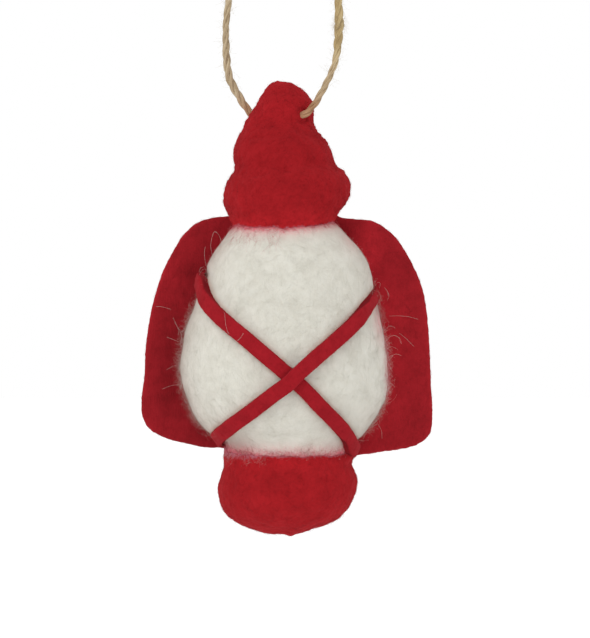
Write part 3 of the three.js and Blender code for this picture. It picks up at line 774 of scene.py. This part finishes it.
strip_felt = wool_finish("red_strip_felt", STRIP_TONES, 4 * MM, 0.05, (1, 0.25, 0.25), 0.05 * MM, darker_where_cut_and_shaded)
globe_face = BVHTree.FromObject(globe, bpy.context.evaluated_depsgraph_get())
strips = []
for order, (node, ends) in enumerate(STRIP_ENDS.items()):
    strip_skin = whole_skin(node, "strip_skin", STRIP_VOXEL, 2, 0)
    pulled_tight(strip_skin, ends)
    sides = np.array([
        1 - abs(point.normal.dot(globe_face.find_nearest(point.co)[1])) for point in strip_skin.data.vertices])
    slanted(strip_skin, sides, globe_face, STRIP_SLANTS[node])
    for point in strip_skin.data.vertices:
        foot, face_out, _, _ = globe_face.find_nearest(point.co)
        height = (point.co - foot).dot(face_out)
        if height < STRIP_STACK:
            point.co -= face_out * (STRIP_SINK * MM * (1 - height / STRIP_STACK))
    strip = felted(
        "cut_" + node, strip_skin, strip_felt, swell=0.06, swell_size=6, lump=0.05, lump_size=1.2, grain=0.025,
        grain_size=0.4)
    # The cut sides are marked darker, with painted shade at the strips' ends.
    mark(strip, "cut", sides * np.minimum(CUT_LEAST + spots_at(places(strip), CUT_SHADE_SPOTS[node]), 1))
    fixed(strip, "lantern", "red_sheet_felt", node)
    strips.append(strip)
    loose(
        strip, node + "_fibres", "red_sheet_felt", red_fibre, 61 + order, 6e5, shortest=0.8, longest=2.5,
        thickness=0.015, joints=5, lift=0.4, curl=0.4, curl_size=2)
# The globe is tinted tan within a reach of the strips.
mark(globe, "glued", nearness(globe, strips, STRIP_SIDE_REACH))
loose(
    globe, "right_edge_red_fibres", "red_sheet_felt", thin_red_fibre, 65, 4e6, shortest=1.2, longest=3.4,
    thickness=0.015, joints=7, lift=1.2, hug=0.5, curl=1.3, curl_size=2.5, combed=(0.4, 0, 0), lowest=-158,
    highest=-130, fade=6, rearmost=6, leftmost=27.2, clumped=0.7, clump_size=2.6)

# The globe's rim is painted with shade and a red reflection of the wings, most of all at the upper left, and painted
# shadow lies at its lower corners by the base. Its loose fibres take the tones of the wool below them.
RIM_MIDDLE = -141 * MM
RIM_FALL = 2.5 * MM
RIM_STEPS = np.radians(np.arange(-180, 181, 5))
RIM_WINDOW = math.radians(4)
RIM_SHADE_SHARES = (
    (-180, 0.95), (-140, 0.9), (-90, 0.6), (-42, 0.7), (-26, 0.2), (-10, 0.15), (14, 0.6), (51, 0.95), (128, 1.35),
    (164, 0.8), (180, 0.95),
)
# Spots of painted shadow at the globe's lower corners, in the crevice by the base and under the strip's end: across,
# height, half width, half height and share.
PAINTED_SHADOW_SPOTS = ((-14, -170.5, 5.5, 4, 0.85), (14.5, -171, 4, 3, 0.3))

around = np.arctan2(globe_places[:, 2] - RIM_MIDDLE, globe_places[:, 0])
out = np.hypot(globe_places[:, 2] - RIM_MIDDLE, globe_places[:, 0])
outline = [out[np.abs(around - step) < RIM_WINDOW].max() for step in RIM_STEPS]
rim_shade = np.exp(np.minimum(out - np.interp(around, RIM_STEPS, outline), 0) / RIM_FALL)
rim_shade *= np.interp(np.degrees(around), *zip(*RIM_SHADE_SHARES))
# This mark holds painted shade at the rim and painted shadow at the lower corners.
mark(globe, "turned", rim_shade + spots_at(globe_places, PAINTED_SHADOW_SPOTS))
globe_points = KDTree(len(globe_places))
for index, place in enumerate(globe_places):
    globe_points.insert(place, index)
globe_points.balance()
for piece in (globe_mat, globe_halo, globe_wisps):
    below = [globe_points.find(place)[1] for place in places(piece)]
    for name in ("turned", "glued", "mingled"):
        shares = np.empty(len(globe_places))
        globe.data.attributes[name].data.foreach_get("value", shares)
        mark(piece, name, shares[below])

# Single long hairs have come off the globe and lie over the wings and the strips. Each is laid on what is behind it,
# with its route as across and height.
HAIR_ROUTES = (
    ((-17.9, -116.2), (-18.8, -111.8), (-20.3, -110.2), (-21.1, -112), (-21.4, -114.6), (-20.7, -117.4), (-19.8, -118)),
    ((-23, -114.4), (-23.2, -116.5), (-22.9, -118.8), (-22.1, -121.3)),
    ((-32.6, -134.3), (-31.5, -136.7), (-30.5, -138.2), (-30.1, -140.2), (-30.6, -142)),
    ((-34.3, -139.9), (-32.4, -140.6), (-31, -141.1), (-29.8, -140.2)),
    ((-32, -135.4), (-31, -137.9), (-31, -139.3)),
    ((-37.4, -131.1), (-35.2, -131.3), (-33.2, -132)),
    ((-35.7, -154.7), (-33.4, -153.8), (-31, -153.5), (-29.5, -154.3)),
    ((-34.3, -149.2), (-32.2, -148), (-30.6, -148.6)),
    ((-17.1, -133), (-16.7, -136.5), (-15.7, -139.2), (-14.3, -140.9), (-12.9, -140.1), (-11.8, -138.6)),
    ((29.2, -133.9), (31.2, -133.8), (34.3, -134), (37.4, -134.8)),
    ((28.4, -126.6), (28.9, -127.4), (29, -128.5), (28.6, -129.3)),
    ((27.8, -125.7), (28.6, -126.8), (28.8, -128)),
    ((27.5, -141.2), (29.6, -139.4), (31.4, -139.9), (32.2, -141.6)),
    ((28, -146.8), (30.2, -144.6), (32, -144.9)),
    ((25.9, -164.6), (26.9, -166.6), (27.1, -168.9)),
    ((-24.6, -122.3), (-24.1, -121), (-23.2, -120.6), (-22.8, -121.4), (-23.4, -122)),
    ((-24.9, -121.8), (-24.6, -120.4), (-23.8, -119.9)),
    ((25.2, -125.2), (25.8, -124.3), (26.6, -124.6), (26.4, -125.8)),
    ((25.4, -126.6), (26.2, -127.6), (26.5, -129.1)),
    ((27.8, -137.8), (29.5, -136.7), (30.9, -137.3)),
    ((28.4, -143.4), (29.8, -142.6), (31.5, -143.4)),
    ((28.7, -145.7), (30.1, -145.1)),
    ((28.7, -147.9), (29.8, -149.1)),
    ((28.4, -151.3), (29.5, -150.5), (30.1, -151.3)),
    ((32, -138.7), (34, -140.3), (36.2, -142.6)),
    ((27.8, -154.7), (28.9, -153.8)),
)

HAIR_CLEAR = 0.1 * MM
HAIR_HUMP = 0.3 * MM

hairs, given, made = new_maker("laid_hairs", {
    "Geometry": ("Geometry", None), "Thickness": ("Float", 0.00003), "Finish": ("Material", None)})
hair = fed(hairs, "GeometryNodeStoreNamedAttribute", {
    "Geometry": given["Geometry"], "Name": "tone", "Value": 0.8}, domain="POINT")
end_maker(hairs, tube(hairs, hair, 4, given["Thickness"]), given["Finish"], made)


def smooth_route(points, steps=8):
    """Points in metres close together on one smooth line through a route's points in millimetres."""
    p = np.array(points, dtype=float) * MM
    p = np.vstack([2 * p[0] - p[1], p, 2 * p[-1] - p[-2]])
    line = []
    for a, b, c, d in zip(p, p[1:], p[2:], p[3:]):
        for t in np.arange(steps) / steps:
            line.append(0.5 * (
                2 * b + (c - a) * t + (2 * a - 5 * b + 4 * c - d) * t ** 2 + (3 * b - a - 3 * c + d) * t ** 3))
    return np.array([*line, p[-2]])


def drawn(name, lines, girths=None):
    """Open lines through points, as a curve for a maker to follow, and how thick it is along them."""
    curve = bpy.data.curves.new(name, "CURVE")
    curve.dimensions = "3D"
    for line in lines:
        spline = curve.splines.new("POLY")
        spline.points.add(len(line) - 1)
        spline.points.foreach_set("co", np.hstack([line, np.ones((len(line), 1))]).ravel())
        spline.points.foreach_set("radius", np.ones(len(line)) if girths is None else girths)
    return bpy.data.objects.new(name, curve)


globe_front, panel_front, *strip_fronts = [
    BVHTree.FromObject(piece, bpy.context.evaluated_depsgraph_get()) for piece in (globe, panel, *strips)]


def depth_of(fronts, point):
    """How far back the first of some fronts is behind a point of the picture, or nothing."""
    hits = [front.ray_cast(Vector((point[0], -0.1, point[2])), Vector((0, 1, 0)))[0] for front in fronts]
    return min((hit.y for hit in hits if hit), default=None)


laid_down = []
for route in HAIR_ROUTES:
    line = smooth_route([(x, 0, z) for x, z in route])
    depths = [depth_of((globe_front, *strip_fronts), point) for point in line]
    held_at = [index for index, depth in enumerate(depths) if depth is not None]
    for index, point in enumerate(line):
        hump = math.sin(math.pi * index / (len(line) - 1))
        depth = depths[min(held_at, key=lambda at: abs(at - index))] if held_at else depth_of((panel_front,), point)
        point[1] = depth - HAIR_CLEAR - HAIR_HUMP * hump
    for _ in range(3):
        line[1:-1, 1] = (line[:-2, 1] + line[1:-1, 1] + line[2:, 1]) / 3
    laid_down.append(line)
stray_hairs = made_by(
    hairs, "stray_white_hairs", drawn("hair_routes", laid_down), thickness=0.018 * MM, finish=white_fibre)
fixed(stray_hairs, "lantern", "white_wool")

# The lantern hangs on one length of three-ply jute twine. It goes through the cap from the back left to the
# front right, and its two ends are tied in an overhand knot above. It is thicker in places, as jute is.
LEFT_ROUTE = (
    (-7.8, 6.1, -77.8), (-8.7, 6.8, -77.65), (-9.6, 7.45, -77.1), (-10.7, 8.15, -75.9), (-12.35, 9, -73.55),
    (-14, 9.5, -70.9), (-15.9, 9.6, -67.5), (-16.75, 9.3, -64.4), (-17.2, 8.8, -60.5), (-17.3, 8, -56.5),
    (-17.35, 7.3, -52.5), (-17, 6.6, -48.6), (-16.5, 5.9, -44.5), (-15.4, 4.9, -38), (-13.4, 3.8, -30),
    (-10.7, 2.7, -22.3), (-7.5, 1.7, -14.8), (-4.4, 0.9, -8), (-2.1, 0.3, -2.8), (-1.2, 0, -0.2), (-1.15, 0, 0.9),
)
RIGHT_ROUTE = (
    (3.1, -2.4, -77.8), (3.9, -3.05, -77.75), (4.8, -3.7, -77.5), (5.8, -4.3, -76.85), (6.85, -4.8, -75.75),
    (8.2, -5.2, -73.9), (10.05, -5.5, -70.75), (11.65, -5.6, -67.55), (13, -5.5, -64.3), (13.8, -5.3, -61.4),
    (14.35, -4.7, -56.4), (14.6, -4.2, -52.3), (14.5, -3.7, -48.3), (14.35, -3.3, -44.5), (13.6, -2.8, -38),
    (12, -2.2, -30), (9.7, -1.6, -22.3), (6.9, -1, -14.8), (4.1, -0.5, -8), (2.1, -0.2, -2.8), (1.2, 0, -0.2),
    (1.15, 0, 0.9),
)
CAP_ROUTE = ((-7.55, 5.9, -77.8), (-4.5, 3.5, -77.8), (-1.2, 0.95, -77.8), (2.85, -2.2, -77.8))
LEFT_GIRTHS = (1, 1, 1.02, 1.1, 1.1, 1.16, 1.18, 1.1, 1.15, 0.98, 0.95, 0.97, 1, 1, 1.05, 1, 0.95, 1, 1, 1, 1)
RIGHT_GIRTHS = (1, 1, 1, 1, 0.98, 0.96, 0.94, 0.9, 0.88, 1, 1.22, 1.38, 1.2, 1.1, 1.05, 1, 1.05, 1, 1, 1, 1, 1)
TWINE_TONES = ((0.21, 0.137, 0.07), (0.4, 0.305, 0.176), (0.57, 0.47, 0.31))
# Near the cap the twine is painted darker and redder: painted shade and a red reflection of the cap, with red lint.
TWINE_CAP_SHADE_AND_LINT = (0.76, 0.55, 0.48)
CAP_SHADE_FADE = (5.5 * MM, 11 * MM)
FRAY_FROM = -71
PLY_WAVES = 450.0
STRAND_WAVES = 250.0
STREAK_WAVES = 260.0
LEFT_TINT = (1.04, 1.06, 1.16)
RIGHT_TINTS = ((1.12, 1.12, 1.2), (1, 0.97, 0.82))
RIGHT_TINT_FADE = (-66 * MM, -58 * MM)

plies, given, made = new_maker("twisted_plies", {
    "Geometry": ("Geometry", None),
    "Ply Radius": ("Float", 0.00055), "Ply Off Centre": ("Float", 0.00047), "Lay": ("Float", 0.0115),
    "Step": ("Float", 0.0003), "Sides": ("Int", 12), "Uneven": ("Float", 0.16), "Strands": ("Float", 0.00009),
    "Finish": ("Material", None),
})


def ply(kind, feeds, outlet=0, **settings):
    return fed(plies, kind, feeds, outlet, **settings)


route = ply("GeometryNodeStoreNamedAttribute", {
    "Geometry": given["Geometry"], "Name": "girth", "Value": ply("GeometryNodeInputRadius", {})}, domain="POINT")
route = ply("GeometryNodeResampleCurve", {"Curve": route, "Length": given["Step"]}, mode="LENGTH")
girth = ply("GeometryNodeInputNamedAttribute", {"Name": "girth"})
reach = ply("GeometryNodeSplineParameter", {}, "Length")
side = ply("GeometryNodeInputNormal", {})
ahead = ply("GeometryNodeInputTangent", {})
other = vectors(plies, "CROSS_PRODUCT", ahead, side)
joined = plies.nodes.new("GeometryNodeJoinGeometry")
for each in range(3):
    turned = sums(plies, "MULTIPLY_ADD", sums(plies, "DIVIDE", reach, given["Lay"]), math.tau, each * math.tau / 3)
    out = vectors(plies, "ADD", vectors(plies, "SCALE", side, by=sums(plies, "COSINE", turned)),
                  vectors(plies, "SCALE", other, by=sums(plies, "SINE", turned)))
    out = vectors(plies, "SCALE", out, by=sums(plies, "MULTIPLY", given["Ply Off Centre"], girth))
    wound = ply("GeometryNodeSetPosition", {"Geometry": route, "Offset": out})
    wound = ply("GeometryNodeStoreNamedAttribute", {"Geometry": wound, "Name": "along", "Value": reach}, domain="POINT")
    uneven = ply("ShaderNodeTexNoise", {
        "Vector": ply("ShaderNodeCombineXYZ", {0: reach, 1: float(each)}), "Scale": PLY_WAVES, "Detail": 1.0})
    uneven = sums(plies, "SUBTRACT", uneven, 0.5)
    uneven = sums(plies, "MULTIPLY_ADD", uneven, sums(plies, "MULTIPLY", given["Uneven"], 4.0), 1.0)
    round_one = ply("GeometryNodeCurvePrimitiveCircle", {"Resolution": given["Sides"], "Radius": 1.0})
    round_one = ply("GeometryNodeStoreNamedAttribute", {
        "Geometry": round_one, "Name": "round", "Value": ply("GeometryNodeSplineParameter", {})}, domain="POINT")
    thick = sums(plies, "MULTIPLY", sums(plies, "MULTIPLY", given["Ply Radius"], uneven), girth)
    body = ply("GeometryNodeCurveToMesh", {
        "Curve": ply("GeometryNodeSetCurveRadius", {"Curve": wound, "Radius": 1.0}), "Profile Curve": round_one,
        "Scale": thick, "Fill Caps": True})
    plies.links.new(body, joined.inputs[0])
turn = sums(plies, "MULTIPLY", ply("GeometryNodeInputNamedAttribute", {"Name": "round"}), math.tau)
strand = ply("ShaderNodeCombineXYZ", {
    0: sums(plies, "MULTIPLY", ply("GeometryNodeInputNamedAttribute", {"Name": "along"}), STRAND_WAVES),
    1: sums(plies, "MULTIPLY", sums(plies, "COSINE", turn), 1.3),
    2: sums(plies, "MULTIPLY", sums(plies, "SINE", turn), 1.3)})
ridge = sums(plies, "SUBTRACT", ply("ShaderNodeTexNoise", {"Vector": strand, "Scale": 1.0, "Detail": 2.0}), 0.5)
ridge = vectors(plies, "SCALE", ply("GeometryNodeInputNormal", {}),
                by=sums(plies, "MULTIPLY", sums(plies, "MULTIPLY", given["Strands"], 4.0), ridge))
rough = ply("GeometryNodeSetPosition", {"Geometry": joined.outputs[0], "Offset": ridge})
end_maker(plies, ply("GeometryNodeSetShadeSmooth", {"Geometry": rough}), given["Finish"], made)

jute, jute_tree, jute_shader = new_finish("jute_twine", rough=0.85, sheen=0.05)
turn = sums(jute_tree, "MULTIPLY", written(jute_tree, "round"), math.tau)
far = written(jute_tree, "along")
streak_place = fed(jute_tree, "ShaderNodeCombineXYZ", {
    0: sums(jute_tree, "MULTIPLY", far, STREAK_WAVES),
    1: sums(jute_tree, "MULTIPLY", sums(jute_tree, "COSINE", turn), 1.8),
    2: sums(jute_tree, "MULTIPLY", sums(jute_tree, "SINE", turn), 1.8)})
streaks = noise(jute_tree, streak_place, 1, 3.0, 0.6)
spot = fed(jute_tree, "ShaderNodeTexCoord", {}, "Object")
blotches = noise(jute_tree, spot, 9 * MM)
mixed = sums(jute_tree, "ADD", sums(jute_tree, "MULTIPLY", streaks, 0.6), sums(jute_tree, "MULTIPLY", blotches, 0.4))
# Painted shade and red reflection of the cap, with red lint, fading out along the twine away from it.
away_from_cap = spread(jute_tree, far, *CAP_SHADE_FADE)
cap_shade_and_lint = fed(jute_tree, "ShaderNodeMix", {0: away_from_cap, 6: (*TWINE_CAP_SHADE_AND_LINT, 1), 7: (1, 1, 1, 1)}, 2, data_type="RGBA")
across, height = (fed(jute_tree, "ShaderNodeSeparateXYZ", {0: spot}, axis) for axis in (0, 2))
upper = spread(jute_tree, height, *RIGHT_TINT_FADE)
right_tint = fed(jute_tree, "ShaderNodeMix", {
    0: upper, 6: (*RIGHT_TINTS[0], 1), 7: (*RIGHT_TINTS[1], 1)}, 2, data_type="RGBA")
tint = fed(jute_tree, "ShaderNodeMix", {
    0: sums(jute_tree, "GREATER_THAN", across, 0.0), 6: (*LEFT_TINT, 1), 7: right_tint}, 2, data_type="RGBA")
own_tone = between(jute_tree, spread(jute_tree, mixed, 0.34, 0.66), *TWINE_TONES)
own_tone = vectors(jute_tree, "MULTIPLY", vectors(jute_tree, "MULTIPLY", own_tone, tint), cap_shade_and_lint)
jute_tree.links.new(own_tone, jute_shader.inputs["Base Color"])
jute_tree.links.new(fed(jute_tree, "ShaderNodeBump", {"Strength": 0.7, "Distance": 0.08 * MM, "Height": streaks}),
                    jute_shader.inputs["Normal"])
jute_fibre = fibre_finish("jute_fibre", (TWINE_TONES[1], TWINE_TONES[2]))

twine_runs = {}
for name, points, girths, node in (
        ("left", LEFT_ROUTE, LEFT_GIRTHS, "twine_left"), ("right", RIGHT_ROUTE, RIGHT_GIRTHS, "twine_right"),
        ("in_cap", CAP_ROUTE, (1, 1, 1, 1), "twine_in_cap")):
    line = smooth_route(points)
    girths = np.interp(np.arange(len(line)) / 8, np.arange(len(girths)), girths)
    run = made_by(plies, "jute_twine_" + name, drawn("route", [line], girths), finish=jute)
    fixed(run, "hanger", "jute_twine", node)
    twine_runs[name] = run, line

# The knot above the hanging point is an overhand knot in both strands together. Their two ends stand up out
# of it, cut short and a little frayed.
KNOT_MIDDLE = 4.1
KNOT_LOBE = 0.92
KNOT_DEPTH = 1.5
PAIR_HALF = 0.72
KNOT_OPENING = 0.55
PAIR_HALF_BELOW = 1.15
ENDS_APART = 3.2
ENDS_FROM = 0.86

knot_core = [(0, 0, 0.9), (-1.2, 0.2, 1.25)]
for turn in np.linspace(math.pi + KNOT_OPENING, 3 * math.pi - KNOT_OPENING, 17):
    knot_core.append((
        KNOT_LOBE * (math.cos(turn) - 2 * math.cos(2 * turn)),
        KNOT_DEPTH * -math.sin(3 * turn),
        KNOT_MIDDLE - KNOT_LOBE * (math.sin(turn) + 2 * math.sin(2 * turn))))
knot_core += [(-1.1, 0, 7.2), (-0.2, 0, 8.6), (0, 0, 10), (0, 0, 12), (0, 0, 14)]
core_line = smooth_route(knot_core, 6)
ahead = np.gradient(core_line, axis=0)
beside = np.stack([ahead[:, 2], 0 * ahead[:, 2], -ahead[:, 0]], 1)
beside /= np.linalg.norm(beside, axis=1)[:, None]
run_share = np.linspace(0, 1, len(core_line))
apart = PAIR_HALF + (PAIR_HALF_BELOW - PAIR_HALF) * np.clip(1 - run_share * 12, 0, 1)
apart += ENDS_APART * np.clip((run_share - ENDS_FROM) / (1 - ENDS_FROM), 0, 1) ** 1.5
both = [core_line + way * beside * apart[:, None] * MM for way in (-1, 1)]
knot = made_by(plies, "tied_knot", drawn("route", both), finish=jute, ply_radius=0.46 * MM, ply_off_centre=0.38 * MM)
fixed(knot, "hanger", "jute_twine", "twine_knot")
knot_fray = loose(
    knot, "knot_fray", "jute_twine", jute_fibre, 71, 1e6, "hanger", shortest=1, longest=4, thickness=0.02, joints=6,
    lift=1.2, hug=0.3, curl=0.8, curl_size=3)

for name, seed in (("left", 72), ("right", 73)):
    run, line = twine_runs[name]
    fray = [loose(
        run, "twine_" + name + "_fray", "jute_twine", jute_fibre, seed, 7e5, "hanger", shortest=1, longest=4.5,
        thickness=0.018, joints=6, lift=0.6, hug=0.3, curl=0.7, curl_size=3, lowest=FRAY_FROM)]
    if name == "right":
        fray.append(loose(
            run, "twine_right_tuft", "jute_twine", jute_fibre, 74, 5e6, "hanger", shortest=1, longest=2.6,
            thickness=0.018, joints=6, lift=1, hug=0.3, curl=1, curl_size=2, lowest=-54.5, highest=-50.5, fade=1.2))

# White paper lies below the lantern and far round it, and shines a little itself, so that it shows plain white.
# Soft light comes from all round, and a little more from a soft box at the front left and above.
PAPER_RADIUS = 7
PAPER_HEIGHT = -0.33
PAPER_TONE = (0.8, 0.8, 0.8)
PAPER_GLOW = 0.25
WHITE = (1, 1, 1, 1)
BOX_PLACE = (-0.48, -0.88, 0.5)
BOX_SIZE = 0.6
BOX_POWER = 3.5

paper_mesh = bpy.data.meshes.new("paper")
sheet_cut = bmesh.new()
bmesh.ops.create_circle(sheet_cut, cap_ends=True, segments=64, radius=PAPER_RADIUS)
sheet_cut.to_mesh(paper_mesh)
sheet_cut.free()
paper_mesh.transform(Matrix.Translation((0, 0, PAPER_HEIGHT)))
paper = bpy.data.objects.new("paper", paper_mesh)
scene.collection.objects.link(paper)
paper_finish, _, paper_shader = new_finish("paper")
paper_shader.inputs["Base Color"].default_value = (*PAPER_TONE, 1)
paper_shader.inputs["Emission Color"].default_value = WHITE
paper_shader.inputs["Emission Strength"].default_value = PAPER_GLOW
paper_mesh.materials.append(paper_finish)

world = bpy.data.worlds.new("studio")
world.use_nodes = True
world.node_tree.nodes["Background"].inputs["Color"].default_value = WHITE
world.node_tree.nodes["Background"].inputs["Strength"].default_value = 1.0
scene.world = world
scene.view_settings.view_transform = "Standard"

box_data = bpy.data.lights.new("front_left_box", "AREA")
box_data.size = BOX_SIZE
box_data.energy = BOX_POWER
box = bpy.data.objects.new("front_left_box", box_data)
box.location = BOX_PLACE
lit_middle = Vector((CAMERA_SIDE, 0, CAMERA_HEIGHT))
box.rotation_euler = (lit_middle - box.location).to_track_quat("-Z", "Y").to_euler()
scene.collection.objects.link(box)
